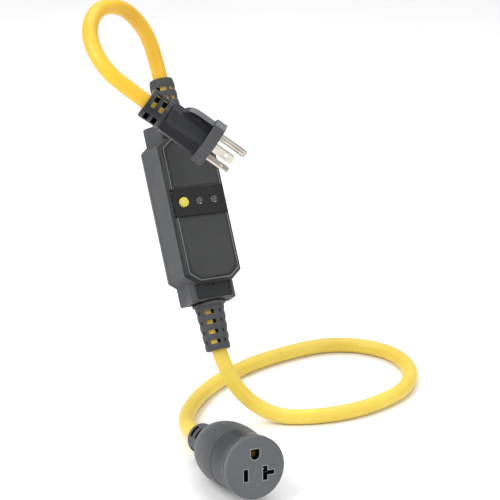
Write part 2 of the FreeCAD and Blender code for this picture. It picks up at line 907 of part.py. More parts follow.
def connector_face():
    """Flat face insert with its three openings."""
    plate = revolved([
        (0.0, -dim("face_thickness") + 0.01), (dim("face_radius"), -dim("face_thickness") + 0.01),
        (dim("face_radius"), -0.8), (dim("face_radius") - 0.8, 0.0), (0.0, 0.0),
    ])
    return cut(plate, *slot_cutters(-dim("face_thickness") - 1.0, as_size(1.0)))


def bored_connector_body():
    """The barrel with a pocket behind each slot, a little wider than the slot."""
    low = -dim("barrel_length") + 3.0
    high = as_size(1.0)
    span = dim("slot_span")
    drop = dim("slot_drop")
    pockets = [
        block((-span - 1.8, -drop - 4.0, low), (-span + 1.8, -drop + 4.0, high)),
        block((span - 1.8, -drop - 4.6, low), (span + 1.8, -drop + 4.6, high)),
        block((span + 1.7, -drop - 1.6, low), (span + 6.8, -drop + 1.6, high)),
        ground_opening(3.2, 3.7, low, high),
    ]
    return cut(connector_body(), *pockets)


CONTACT_LOW = -16.5
CONTACT_TOP = -5.0
WEB_TOP = CONTACT_LOW + 1.0
LEAF = 0.4


def leaf_pair(x, y, half_gap, half_tall, upright):
    """Two spring leaves facing each other, and the web that joins them at the bottom."""
    outer = half_gap + LEAF
    pieces = []
    for low, high in ((-outer, -half_gap), (half_gap, outer)):
        if upright:
            pieces.append(block((x + low, y - half_tall, CONTACT_LOW), (x + high, y + half_tall, CONTACT_TOP)))
        else:
            pieces.append(block((x - half_tall, y + low, CONTACT_LOW), (x + half_tall, y + high, CONTACT_TOP)))
    reach_x, reach_y = (outer, half_tall) if upright else (half_tall, outer)
    pieces.append(block((x - reach_x, y - reach_y, CONTACT_LOW), (x + reach_x, y + reach_y, WEB_TOP)))
    return pieces


def hot_contact():
    return fuse(*leaf_pair(-dim("slot_span").value, -dim("slot_drop").value, 0.8, 3.3, True))


def neutral_contact():
    """Leaves for a flat blade and a leaf for an upright one, on one web."""
    x = dim("slot_span").value
    y = -dim("slot_drop").value
    flat_pair = leaf_pair(x + 3.5, y, 0.8, 2.6, False)
    web = block((x - 1.2, y - 1.2, CONTACT_LOW), (x + 1.5, y + 1.2, WEB_TOP))
    upright_leaf = block((x - 1.2, y - 3.4, CONTACT_LOW), (x - 1.2 + LEAF, y + 3.4, CONTACT_TOP))
    return fuse(*flat_pair, web, upright_leaf)


def ground_contact():
    """A closed sleeve for the round ground pin."""
    rise = dim("ground_slot_rise")
    sleeve = rod(2.45 + LEAF, CONTACT_TOP - CONTACT_LOW, (0, rise, CONTACT_LOW))
    return cut(sleeve, rod(2.45, CONTACT_TOP - CONTACT_LOW, (0, rise, WEB_TOP)))


# ---------------------------------------------------------------- cords
# Routes in the row frame. Each starts and ends inside a strain relief, on its axis.
UPPER_ROUTE = [
    (-30.3, 97.9, 193.8), (-34.7, 108.0, 211.6), (-42.2, 110.9, 236.0), (-56.2, 100.9, 255.0),
    (-71.2, 79.9, 260.0), (-76.2, 55.9, 250.0), (-66.2, 39.9, 232.0), (-46.77, 36.44, 216.67),
    (-28.89, 34.30, 204.06),
]
LOWER_ROUTE = [
    (3.1, 21.3, 59.2), (6.9, 12.6, 43.9), (20.8, 9.9, 18.0), (42.8, 6.9, 5.0), (65.8, 6.9, 5.0),
    (88.8, 12.9, 5.0), (110.8, 25.9, 5.0), (130.8, 46.9, 5.0), (137.8, 73.9, 5.0), (128.8, 100.9, 5.0),
    (105.8, 115.9, 5.0), (77.8, 116.9, 5.0), (51.8, 103.9, 5.0), (26.8, 85.9, 5.0), (5.8, 61.9, 5.0),
    (-9.2, 34.9, 5.0), (-16.5, 6.5, 5.2), (-13.0, -18.8, 8.0), (0.37, -44.95, 14.23),
]

# ---------------------------------------------------------------- assembly
MODULE_PARTS = {
    "rear_housing": finished_rear_housing,
    "front_cover": finished_front_cover,
    "housing_gasket": gasket,
    "housing_screws": screws,
    "upper_label": lambda: label(panel_y + dim("panel_half_height") + 1.4, dim("body_top") - 8.2),
    "lower_label": lambda: label(-(dim("body_bottom") - 8.2), panel_y - dim("panel_half_height") - 1.4),
    "button_panel": button_panel,
    "test_reset_button": button,
    "button_seal": button_seal,
    "tact_switch": tact_switch,
    "switch_plunger": switch_plunger,
    "fault_lens": lambda: lens(dim("fault_lens_x")),
    "load_lens": lambda: lens(dim("load_lens_x")),
    "fault_light": lambda: light(dim("fault_lens_x")),
    "load_light": lambda: light(dim("load_lens_x")),
    "circuit_board": circuit_board,
    "relay": relay,
    "sense_transformer": lambda: toroid(-5.0, 6.0),
    "ground_transformer": lambda: toroid(-13.5, 5.0),
    "varistor": varistor,
    "film_capacitor": film_capacitor,
    "input_terminals": lambda: terminals(1),
    "output_terminals": lambda: terminals(-1),
    "input_leads": lambda: leads(1),
    "output_leads": lambda: leads(-1),
    "sensed_conductors": sensed_conductors,
}
UPPER_NECK = Placement(Vector(0, half_length.value, 0), Rotation(Vector(1, 0, 0), -90))
LOWER_NECK = Placement(Vector(0, -half_length.value, 0), Rotation(Vector(1, 0, 0), 90))
STUB_START = -8.0
STUB_LENGTH = dim("relief_length") - dim("cord_entry") - STUB_START

PLUG_STUB = dim("plug_relief_length") - dim("cord_entry") + 3.0
PLUG_PARTS = {
    "plug_body": finished_plug_body,
    "plug_strain_relief": plug_relief,
    "plug_cord_end": lambda: cord_stub(PLUG_STUB, -(dim("plug_length") - dim("cord_entry"))),
    "hot_blade": lambda: blade(dim("hot_x"), True),
    "neutral_blade": lambda: blade(dim("neutral_x"), False),
    "ground_pin": ground_pin,
}

CONNECTOR_PARTS = {
    "connector_body": bored_connector_body,
    "connector_collar": connector_collar,
    "connector_strain_relief": connector_relief,
    "connector_cord_end": lambda: cord_stub(16.0, -(dim("connector_length") - dim("cord_entry"))),
    "connector_face": connector_face,
    "hot_contact": hot_contact,
    "neutral_contact": neutral_contact,
    "ground_contact": ground_contact,
}

for assembly, place in ((MODULE_PARTS, MODULE_AT), (PLUG_PARTS, PLUG_AT), (CONNECTOR_PARTS, CONNECTOR_AT)):
    for name, make in assembly.items():
        keep(make(), name, place)
for end, neck, column in (("upper", UPPER_NECK, -RELIEF_COLUMN), ("lower", LOWER_NECK, RELIEF_COLUMN)):
    keep(strain_relief(column), end + "_strain_relief", MODULE_AT * neck)
    keep(cord_stub(STUB_LENGTH, STUB_START), end + "_cord_end", MODULE_AT * neck)
keep(tube(UPPER_ROUTE, cord_radius, "input_cord"), "input_cord", Placement())
keep(tube(LOWER_ROUTE, cord_radius, "output_cord"), "output_cord", Placement())

# ---------------------------------------------------------------- checks and files
doc.recompute()
for thing in doc.Objects:
    if "Invalid" in thing.State or "Error" in thing.State:
        raise RuntimeError("%s (%s) did not compute" % (thing.Label, thing.Name))
os.makedirs("parts", exist_ok=True)
for piece in parts:
    if piece.Shape.isNull() or not piece.Shape.isValid():
        raise RuntimeError("%s has no valid shape" % piece.Label)
for piece in parts:
    piece.Shape.exportStep("parts/%s.step" % piece.Label)
print("%d parts written" % len(parts))
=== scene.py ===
"""Visual model of an in-line ground-fault cord set. Metres, row frame: +Z up, floor at Z = 0.

Outlines are written in millimetres in the local frame of their housing and scaled when meshed:
  module     X across the face, Y towards the plug's cord, Z out of the label face
  plug       Z towards the blades, Y towards the ground pin, origin in the blade face
  connector  Z out of the face, Y towards the ground slot, origin in the face
"""
import math

import bmesh
import bpy
from mathutils import Euler, Matrix, Vector


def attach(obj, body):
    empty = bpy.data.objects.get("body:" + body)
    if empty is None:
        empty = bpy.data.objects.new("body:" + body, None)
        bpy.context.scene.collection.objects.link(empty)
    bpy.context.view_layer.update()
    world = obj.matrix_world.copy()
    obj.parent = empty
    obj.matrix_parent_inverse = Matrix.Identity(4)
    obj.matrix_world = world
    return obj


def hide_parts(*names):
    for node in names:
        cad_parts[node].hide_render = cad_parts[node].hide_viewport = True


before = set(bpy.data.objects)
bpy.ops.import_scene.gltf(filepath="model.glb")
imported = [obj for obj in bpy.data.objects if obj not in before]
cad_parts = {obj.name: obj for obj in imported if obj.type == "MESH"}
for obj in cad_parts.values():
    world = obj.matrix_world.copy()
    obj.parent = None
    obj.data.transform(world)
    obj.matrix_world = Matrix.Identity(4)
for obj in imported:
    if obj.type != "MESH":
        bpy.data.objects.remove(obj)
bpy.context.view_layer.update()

MM = 0.001
scene = bpy.context.scene
scene.view_settings.view_transform = "Standard"

# ---------------------------------------------------------------- camera, floor and light
CAMERA_PLACE = (0.02605, -1.06015, 0.56255)
CAMERA_TILT = 67.6
CAMERA_LENS = 132.26
SENSOR_WIDTH = 36.0
LIGHT_AIM = (0.02, 0.0, 0.12)
WORLD_STRENGTH = 0.62
FLOOR_REACH = 4000.0
FLOOR_TOP = -0.1
FLOOR_BOTTOM = -20.0


def add_camera():
    data = bpy.data.cameras.new("camera")
    data.lens = CAMERA_LENS
    data.sensor_width = SENSOR_WIDTH
    camera = bpy.data.objects.new("camera", data)
    camera.location = CAMERA_PLACE
    camera.rotation_euler = (math.radians(CAMERA_TILT), 0.0, 0.0)
    scene.collection.objects.link(camera)
    scene.camera = camera


def area_light(name, location, target, size, power):
    """A rectangular light that faces its target."""
    data = bpy.data.lights.new(name, "AREA")
    data.shape = "RECTANGLE"
    data.size, data.size_y = size
    data.energy = power
    lamp = bpy.data.objects.new(name, data)
    lamp.location = location
    lamp.rotation_euler = (Vector(target) - Vector(location)).to_track_quat("-Z", "Y").to_euler()
    scene.collection.objects.link(lamp)


def add_studio():
    """Key light from the left, a weaker fill from the right, a wide top light and a white world."""
    area_light("key_light", (-0.75, -0.55, 1.05), LIGHT_AIM, (0.7, 0.9), 12.0)
    area_light("fill_light", (1.0, -0.7, 0.75), LIGHT_AIM, (0.9, 0.9), 4.0)
    area_light("top_light", (0.1, 0.5, 1.3), LIGHT_AIM, (1.2, 0.8), 9.0)
    world = bpy.data.worlds.new("studio")
    world.use_nodes = True
    background = world.node_tree.nodes["Background"]
    background.inputs["Color"].default_value = (1.0, 1.0, 1.0, 1.0)
    background.inputs["Strength"].default_value = WORLD_STRENGTH
    scene.world = world


def add_floor():
    """White sweep just under the floor plane, slightly uneven in tone."""
    material, tree, main = shader("floor_white")
    speckle = noise(tree, 8.0, 3.0)
    tree.links.new(ramp(tree, speckle, grey(0.95), grey(0.97)), main.inputs["Base Color"])
    main.inputs["Roughness"].default_value = 0.6
    low = (-FLOOR_REACH, -FLOOR_REACH, FLOOR_BOTTOM)
    high = (FLOOR_REACH, FLOOR_REACH, FLOOR_TOP)
    box("floor", low, high, material)


# ---------------------------------------------------------------- node helpers
def shader(name):
    """A new material, its node tree and its main shader."""
    material = bpy.data.materials.new(name)
    material.use_nodes = True
    tree = material.node_tree
    return material, tree, tree.nodes["Principled BSDF"]


def add_node(tree, kind, **settings):
    """A node with some inputs or attributes set by name."""
    node = tree.nodes.new(kind)
    for key, value in settings.items():
        if key in node.inputs:
            node.inputs[key].default_value = value
        else:
            setattr(node, key, value)
    return node


def noise(tree, scale, detail=4.0, roughness=0.5, stretch=(1.0, 1.0, 1.0)):
    """Noise in the piece's own coordinates."""
    where = add_node(tree, "ShaderNodeTexCoord")
    mapping = add_node(tree, "ShaderNodeMapping")
    mapping.inputs["Scale"].default_value = stretch
    texture = add_node(tree, "ShaderNodeTexNoise", Scale=scale, Detail=detail, Roughness=roughness)
    tree.links.new(where.outputs["Object"], mapping.inputs["Vector"])
    tree.links.new(mapping.outputs["Vector"], texture.inputs["Vector"])
    return texture.outputs["Fac"]


def ramp(tree, source, low, high, start=0.3, end=0.7):
    """Colours or grey levels blended by a source between two of its values."""
    node = add_node(tree, "ShaderNodeValToRGB")
    node.color_ramp.elements[0].position = start
    node.color_ramp.elements[1].position = end
    node.color_ramp.elements[0].color = low
    node.color_ramp.elements[1].color = high
    tree.links.new(source, node.inputs["Fac"])
    return node.outputs["Color"]


def grey(level):
    return (level, level, level, 1.0)


def tint(color, factor):
    """A colour scaled and given its alpha."""
    return tuple(min(1.0, channel * factor) for channel in color) + (1.0,)


def add_bump(tree, main, sources):
    """Bumps laid one over another: each source is (height output, strength, distance in metres)."""
    normal = None
    for height, strength, distance in sources:
        node = add_node(tree, "ShaderNodeBump", Strength=strength, Distance=distance)
        tree.links.new(height, node.inputs["Height"])
        if normal:
            tree.links.new(normal, node.inputs["Normal"])
        normal = node.outputs["Normal"]
    tree.links.new(normal, main.inputs["Normal"])


def edge_wear(tree):
    """Nearly white along worn convex edges, black elsewhere."""
    geometry = add_node(tree, "ShaderNodeNewGeometry")
    return ramp(tree, geometry.outputs["Pointiness"], grey(0.0), grey(1.0), 0.53, 0.60)


# ---------------------------------------------------------------- materials
def moulded(name, color, roughness, grain=2600.0, depth=0.00004, spread=0.10, wear=0.10):
    """Moulded plastic or rubber: fine spark-eroded grain, faint flow marks, scuffed edges."""
    material, tree, main = shader(name)
    flow = noise(tree, 45.0, 3.0)
    body = ramp(tree, flow, tint(color, 1.0 - spread), tint(color, 1.0 + spread))
    mix = add_node(tree, "ShaderNodeMix", data_type="RGBA", blend_type="ADD")
    scaled = add_node(tree, "ShaderNodeMath", operation="MULTIPLY")
    scaled.inputs[1].default_value = wear
    tree.links.new(edge_wear(tree), scaled.inputs[0])
    tree.links.new(scaled.outputs["Value"], mix.inputs["Factor"])
    tree.links.new(body, mix.inputs["A"])
    mix.inputs["B"].default_value = grey(0.35)
    tree.links.new(mix.outputs["Result"], main.inputs["Base Color"])
    main.inputs["Specular IOR Level"].default_value = 0.22
    smudge = noise(tree, 130.0, 5.0, 0.6)
    tree.links.new(
        ramp(tree, smudge, grey(roughness - 0.07), grey(roughness + 0.09)), main.inputs["Roughness"]
    )
    add_bump(
        tree, main,
        [(noise(tree, grain, 2.0), 0.30, depth), (noise(tree, 300.0, 3.0), 0.10, 0.00008)],
    )
    return material


def jacket(name, color, deep):
    """Yellow cord jacket: satin, slightly uneven over the twisted cores, faintly handled."""
    material, tree, main = shader(name)
    patches = noise(tree, 28.0, 4.0)
    body = ramp(tree, patches, deep + (1.0,), color + (1.0,), 0.28, 0.62)
    marks = noise(tree, 210.0, 6.0, 0.65)
    dirt = ramp(tree, marks, tint(deep, 0.72), grey(1.0), 0.22, 0.36)
    mix = add_node(tree, "ShaderNodeMix", data_type="RGBA", blend_type="MULTIPLY")
    mix.inputs["Factor"].default_value = 0.55
    tree.links.new(body, mix.inputs["A"])
    tree.links.new(dirt, mix.inputs["B"])
    tree.links.new(mix.outputs["Result"], main.inputs["Base Color"])
    tree.links.new(ramp(tree, marks, grey(0.36), grey(0.52)), main.inputs["Roughness"])
    main.inputs["Coat Weight"].default_value = 0.12
    main.inputs["Coat Roughness"].default_value = 0.30
    main.inputs["Subsurface Weight"].default_value = 0.04
    main.inputs["Subsurface Radius"].default_value = (0.004, 0.002, 0.0005)
    add_bump(
        tree, main,
        [(noise(tree, 75.0, 2.0), 0.28, 0.0006), (noise(tree, 1500.0, 3.0), 0.16, 0.00005)],
    )
    return material


def plated(name, color, roughness):
    """Plated or bare metal with draw marks and light tarnish."""
    material, tree, main = shader(name)
    tarnish = noise(tree, 160.0, 5.0)
    tree.links.new(ramp(tree, tarnish, tint(color, 0.80), tint(color, 1.05)), main.inputs["Base Color"])
    main.inputs["Metallic"].default_value = 1.0
    lines = noise(tree, 900.0, 3.0, 0.5, (1.0, 1.0, 0.04))
    sheen = ramp(tree, lines, grey(roughness - 0.06), grey(roughness + 0.12))
    tree.links.new(sheen, main.inputs["Roughness"])
    add_bump(tree, main, [(lines, 0.18, 0.00002), (tarnish, 0.06, 0.00005)])
    return material


def smoked_lens():
    """Dark smoked cover with a clear top coat."""
    material, tree, main = shader("smoked_lens")
    cloud = noise(tree, 400.0, 3.0)
    smoke = ramp(tree, cloud, (0.02, 0.02, 0.022, 1.0), (0.045, 0.044, 0.046, 1.0))
    tree.links.new(smoke, main.inputs["Base Color"])
    main.inputs["Roughness"].default_value = 0.12
    main.inputs["Coat Weight"].default_value = 0.8
    main.inputs["Coat Roughness"].default_value = 0.04
    add_bump(tree, main, [(cloud, 0.05, 0.00004)])
    return material


def laminate():
    """Green board laminate with faint copper tracks under the mask."""
    material, tree, main = shader("board_laminate")
    where = add_node(tree, "ShaderNodeTexCoord")
    bricks = add_node(tree, "ShaderNodeTexBrick", Scale=190.0)
    bricks.inputs["Color1"].default_value = (0.018, 0.13, 0.055, 1.0)
    bricks.inputs["Color2"].default_value = (0.020, 0.16, 0.065, 1.0)
    bricks.inputs["Mortar"].default_value = (0.055, 0.26, 0.11, 1.0)
    tree.links.new(where.outputs["Object"], bricks.inputs["Vector"])
    tree.links.new(bricks.outputs["Color"], main.inputs["Base Color"])
    tree.links.new(ramp(tree, noise(tree, 300.0), grey(0.25), grey(0.42)), main.inputs["Roughness"])
    add_bump(tree, main, [(bricks.outputs["Fac"], 0.2, 0.00005)])
    return material


shell_grey = moulded("shell_grey", (0.066, 0.068, 0.073), 0.46, wear=0.10)
face_dark = moulded("face_dark", (0.021, 0.022, 0.023), 0.46, wear=0.16)
# Light grey for the face ridge: painted highlight along the bead.
ridge_painted_highlight = moulded("ridge_painted_highlight", (0.125, 0.13, 0.135), 0.42, wear=0.10)
label_film = moulded(
    "label_film", (0.025, 0.026, 0.027), 0.44, grain=1400.0, depth=0.00002, spread=0.14, wear=0.05
)
panel_black = moulded("panel_black", (0.013, 0.013, 0.014), 0.40, wear=0.0)
# Near-black painted shade for the walls and floors of holes, wells, slots, pockets and windows; the small
# neck dot also takes this black.
painted_shade_and_dot_black = moulded("painted_shade_and_dot_black", (0.003, 0.003, 0.003), 0.75, wear=0.0)
relief_grey = moulded("relief_grey", (0.062, 0.063, 0.066), 0.52, grain=1500.0, depth=0.00008)
plug_black = moulded(
    "plug_black", (0.018, 0.019, 0.023), 0.36, grain=1800.0, depth=0.00004, spread=0.16, wear=0.14
)
# Darker copy of the plug black: painted shade on the grip's lower sides and scooped flanks.
plug_painted_shade = moulded(
    "plug_painted_shade", (0.008, 0.008, 0.012), 0.42, grain=1800.0, depth=0.00004, spread=0.16, wear=0.10
)
# Lighter copy of the plug black: painted highlight on the top facets of the ridge and flange.
plug_painted_highlight = moulded(
    "plug_painted_highlight", (0.13, 0.135, 0.14), 0.40, grain=1800.0, depth=0.00004, spread=0.10, wear=0.10
)
connector_dark = moulded(
    "connector_dark", (0.040, 0.042, 0.046), 0.34, grain=1700.0, depth=0.00006, spread=0.16
)
collar_grey = moulded(
    "collar_grey", (0.066, 0.069, 0.074), 0.42, grain=2200.0, depth=0.00005, spread=0.12
)
connector_mid = moulded(
    "connector_mid", (0.115, 0.122, 0.130), 0.50, grain=2200.0, depth=0.00005, spread=0.06, wear=0.0
)
slot_rim = moulded("slot_rim", (0.26, 0.27, 0.28), 0.45, wear=0.0)
button_yellow = moulded(
    "button_yellow", (0.62, 0.55, 0.10), 0.33, grain=1800.0, depth=0.00002, spread=0.06, wear=0.05
)
lens_dark = smoked_lens()
blade_metal = plated("blade_metal", (0.60, 0.56, 0.49), 0.24)
contact_brass = plated("contact_brass", (0.78, 0.58, 0.28), 0.28)
screw_zinc = plated("screw_zinc", (0.62, 0.63, 0.65), 0.32)
core_coating = moulded("core_coating", (0.05, 0.05, 0.055), 0.40)
cord_yellow = jacket("cord_yellow", (0.80, 0.60, 0.075), (0.70, 0.49, 0.050))
# Darker copy of the jacket: painted shade for the cord seen deep in the relief windows.
cord_painted_shade = jacket("cord_painted_shade", (0.60, 0.43, 0.045), (0.46, 0.31, 0.025))
cord_amber = jacket("cord_amber", (0.82, 0.48, 0.020), (0.72, 0.40, 0.013))
component_black = moulded("component_black", (0.02, 0.02, 0.022), 0.42)
component_blue = moulded("component_blue", (0.02, 0.06, 0.30), 0.30)
component_cream = moulded("component_cream", (0.55, 0.48, 0.28), 0.40)
light_clear = moulded("light_clear", (0.62, 0.62, 0.58), 0.15)
seal_rubber = moulded("seal_rubber", (0.014, 0.014, 0.014), 0.60)
core_copper = moulded("core_copper", (0.45, 0.16, 0.06), 0.40)
board_laminate = laminate()

NODE_MATERIALS = {
    "housing_gasket": seal_rubber, "housing_screws": screw_zinc, "button_seal": seal_rubber,
    "tact_switch": component_black, "switch_plunger": component_black, "circuit_board": board_laminate,
    "relay": component_black, "varistor": component_blue, "film_capacitor": component_cream,
    "fault_light": light_clear, "load_light": light_clear, "sense_transformer": core_coating,
    "ground_transformer": core_coating, "input_terminals": contact_brass, "output_terminals": contact_brass,
    "input_leads": core_copper, "output_leads": core_copper, "sensed_conductors": core_copper,
    "upper_cord_end": cord_amber, "lower_cord_end": cord_amber, "plug_cord_end": cord_amber,
    "connector_cord_end": cord_amber, "hot_contact": contact_brass, "neutral_contact": contact_brass,
    "ground_contact": contact_brass,
}


# ---------------------------------------------------------------- mesh helpers
AXIS_GAP = 0.001


def new_object(name, data):
    piece = bpy.data.objects.new(name, data)
    scene.collection.objects.link(piece)
    return piece


def mesh_of(name, points, faces, material=None):
    """An object from points in millimetres, with its normals turned outwards."""
    mesh = bpy.data.meshes.new(name)
    mesh.from_pydata([Vector(point) * MM for point in points], [], faces)
    work = bmesh.new()
    work.from_mesh(mesh)
    bmesh.ops.remove_doubles(work, verts=work.verts, dist=1e-7)
    bmesh.ops.recalc_face_normals(work, faces=work.faces)
    work.to_mesh(mesh)
    work.free()
    if material:
        mesh.materials.append(material)
    return new_object(name, mesh)


def wall(count, low, high):
    """Quads between two rings of points, given where each ring starts."""
    return [
        (low + index, low + (index + 1) % count, high + (index + 1) % count, high + index)
        for index in range(count)
    ]


def loft(name, rings, material=None):
    """A closed solid through rings with equal numbers of points, with a flat cap at each end."""
    count = len(rings[0])
    faces = [tuple(range(count)), tuple(range((len(rings) - 1) * count, len(rings) * count))]
    for level in range(len(rings) - 1):
        faces += wall(count, level * count, (level + 1) * count)
    return mesh_of(name, [point for ring in rings for point in ring], faces, material)


def ring_loop(name, rings, material=None):
    """A closed solid through a loop of rings: the last one joins the first."""
    count = len(rings[0])
    faces = []
    for level in range(len(rings)):
        faces += wall(count, level * count, (level + 1) % len(rings) * count)
    return mesh_of(name, [point for ring in rings for point in ring], faces, material)


def prism(name, outline, low, high, material=None):
    """An outline in local X and Y, raised from one height to another."""
    return loft(name, [[(x, y, z) for x, y in outline] for z in (low, high)], material)


def rectangle(left, right, low, high):
    return [(left, low), (right, low), (right, high), (left, high)]


def box(name, low, high, material=None):
    """A block between two opposite corners."""
    return prism(name, rectangle(low[0], high[0], low[1], high[1]), low[2], high[2], material)


def circle(radius, count=64, x=0.0, y=0.0, start=0.0, sweep=360.0):
    """Points round a circle, or along an arc with both its ends."""
    steps = count if sweep >= 360.0 else count + 1
    return [
        (
            x + radius * math.cos(math.radians(start + sweep * index / count)),
            y + radius * math.sin(math.radians(start + sweep * index / count)),
        )
        for index in range(steps)
    ]


def turned(name, profile, material=None, count=96):
    """A closed (radius, height) profile turned about local Z; points on the axis keep a hair off it."""
    rings = [
        [(x, y, height) for x, y in circle(max(radius, AXIS_GAP), count)]
        for radius, height in profile
    ]
    return ring_loop(name, rings, material)


def settle(piece):
    """Applies the piece's modifiers to its mesh."""
    graph = bpy.context.evaluated_depsgraph_get()
    mesh = bpy.data.meshes.new_from_object(piece.evaluated_get(graph))
    piece.modifiers.clear()
    piece.data = mesh


def combine(piece, others, operation="DIFFERENCE"):
    """Cuts the others from the piece, or joins them to it, and removes them."""
    for other in others:
        step = piece.modifiers.new(other.name, "BOOLEAN")
        step.operation = operation
        step.object = other
        step.solver = "EXACT"
        step.material_mode = "TRANSFER"
    settle(piece)
    for other in others:
        bpy.data.objects.remove(other)
    return piece


def soften(piece, width, segments=2, angle=35.0):
    """Rounds the edges sharper than an angle."""
    step = piece.modifiers.new("round_edges", "BEVEL")
    step.width = width * MM
    step.segments = segments
    step.limit_method = "ANGLE"
    step.angle_limit = math.radians(angle)
    step.use_clamp_overlap = True
    step.harden_normals = False
    settle(piece)
    return piece


def melt(piece, voxel, passes=4):
    """Remeshes a moulded piece and rubs its edges down."""
    step = piece.modifiers.new("remesh", "REMESH")
    step.mode = "VOXEL"
    step.voxel_size = voxel * MM
    step = piece.modifiers.new("rub", "SMOOTH")
    step.factor = 0.5
    step.iterations = passes
    settle(piece)
    return piece


def finish_piece(piece, place, replaced, body="cord_set", smooth=32.0):
    """Shades the piece, sets it in its place, ties it to its body and hides the CAD nodes it stands for."""
    piece.data.shade_smooth()
    piece.data.set_sharp_from_angle(angle=math.radians(smooth))
    step = piece.modifiers.new("weigh_normals", "WEIGHTED_NORMAL")
    step.keep_sharp = True
    step.weight = 90
    settle(piece)
    piece.matrix_world = place
    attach(piece, body)
    if replaced:
        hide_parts(*replaced)
    return piece


def local_frame(at, yaw, pitch, roll):
    """A housing's frame from its origin in millimetres and its turns in degrees."""
    turn = Euler((math.radians(roll), math.radians(pitch), math.radians(yaw)), "XYZ")
    return Matrix.Translation(Vector(at) * MM) @ turn.to_matrix().to_4x4()


MODULE = local_frame((-13.6, 59.6, 126.5), 32.35, 5.38, 58.58)
PLUG = local_frame((2.1, 30.6, 182.2), 79.16, -5.72, 125.20)
CONNECTOR = local_frame((29.3, -101.6, 27.6), 26.1, 4.52, 78.09)
HALF_LENGTH = 60.0


def neck_frame(sign):
    """Frame at the module's upper (1) or lower (-1) end, its Z along the strain relief."""
    end = Matrix.Translation((0, sign * HALF_LENGTH * MM, 0))
    return MODULE @ end @ Matrix.Rotation(math.radians(-90 * sign), 4, "X")


UPPER_NECK = neck_frame(1)
LOWER_NECK = neck_frame(-1)

# ---------------------------------------------------------------- cords
# Routes in millimetres.
CORD_DIAMETER = 10.0
UPPER_ROUTE = [
    (-30.3, 97.9, 193.8), (-34.7, 108.0, 211.6), (-42.2, 110.9, 236.0), (-56.2, 100.9, 255.0),
    (-71.2, 79.9, 260.0), (-76.2, 55.9, 250.0), (-66.2, 39.9, 232.0), (-46.77, 36.44, 216.67),
    (-28.89, 34.30, 204.06),
]
LOWER_ROUTE = [
    (3.1, 21.3, 59.2), (6.9, 12.6, 43.9), (20.8, 9.9, 18.0), (42.8, 6.9, 5.0), (65.8, 6.9, 5.0),
    (88.8, 12.9, 5.0), (110.8, 25.9, 5.0), (130.8, 46.9, 5.0), (137.8, 73.9, 5.0), (128.8, 100.9, 5.0),
    (105.8, 115.9, 5.0), (77.8, 116.9, 5.0), (51.8, 103.9, 5.0), (26.8, 85.9, 5.0), (5.8, 61.9, 5.0),
    (-9.2, 34.9, 5.0), (-16.5, 6.5, 5.2), (-13.0, -18.8, 8.0), (0.37, -44.95, 14.23),
]


def cord_curve(name, route, material, node):
    """One smooth open spline through a route, with the cord's round section."""
    data = bpy.data.curves.new(name, "CURVE")
    data.dimensions = "3D"
    data.resolution_u = 12
    data.bevel_depth = CORD_DIAMETER * 0.5 * MM
    data.bevel_resolution = 10
    data.use_fill_caps = True
    spline = data.splines.new("NURBS")
    spline.points.add(len(route) - 1)
    for point, place in zip(spline.points, route):
        point.co = [value * MM for value in place] + [1.0]
    spline.order_u = 3
    spline.use_endpoint_u = True
    data.materials.append(material)
    piece = new_object(name, data)
    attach(piece, "cord_set")
    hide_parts(node)
    return piece


# ---------------------------------------------------------------- module
HALF_WIDTH = 22.5
BODY_TOP = 50.0
BODY_BOTTOM = 49.2
NECK_ROOT = 40.0
RELIEF_HOLE = 7.6
SEAM = -4.0
FACE = 16.0
WALL = 2.2
LABEL_HALF_WIDTH = 16.4
LABEL_CORNER = 5.2
PANEL_HALF_WIDTH = 19.5
PANEL_CORNER = 2.6
PANEL_Y = 5.0
PANEL_HALF = 9.3
BUTTON_X = -12.4
LENS_PLACES = {"fault_lens": -0.2, "load_lens": 10.8}


def octagon(half_x, top, bottom, corner_x, corner_y):
    """Rectangle with cut corners."""
    return [
        (half_x, top - corner_y), (half_x - corner_x, top),
        (corner_x - half_x, top), (-half_x, top - corner_y),
        (-half_x, corner_y - bottom), (corner_x - half_x, -bottom),
        (half_x - corner_x, -bottom), (half_x, corner_y - bottom),
    ]


def body_ring(inset, height):
    """Section of the module without its necks, drawn in by an inset."""
    outline = octagon(HALF_WIDTH - inset, BODY_TOP - inset, BODY_BOTTOM - inset, 7.5, 5.5)
    return [(x, y, height) for x, y in outline]


def rectangle_corners(half_x, start, end):
    """Rectangle about the centre line, from one place along it to another."""
    return [(half_x, start), (half_x, end), (-half_x, end), (-half_x, start)]


def neck_ring(half_x, start, end, height):
    """Section of a neck, from inside the body to its end face."""
    return [(x, y, height) for x, y in rectangle_corners(half_x, start, end)]


def relief_hole():
    """Cutter through both end faces for the strain reliefs."""
    hole = prism("relief_hole", circle(RELIEF_HOLE, 48), -61.0, 61.0)
    hole.data.transform(Matrix.Rotation(math.radians(90), 4, "X"))
    return hole


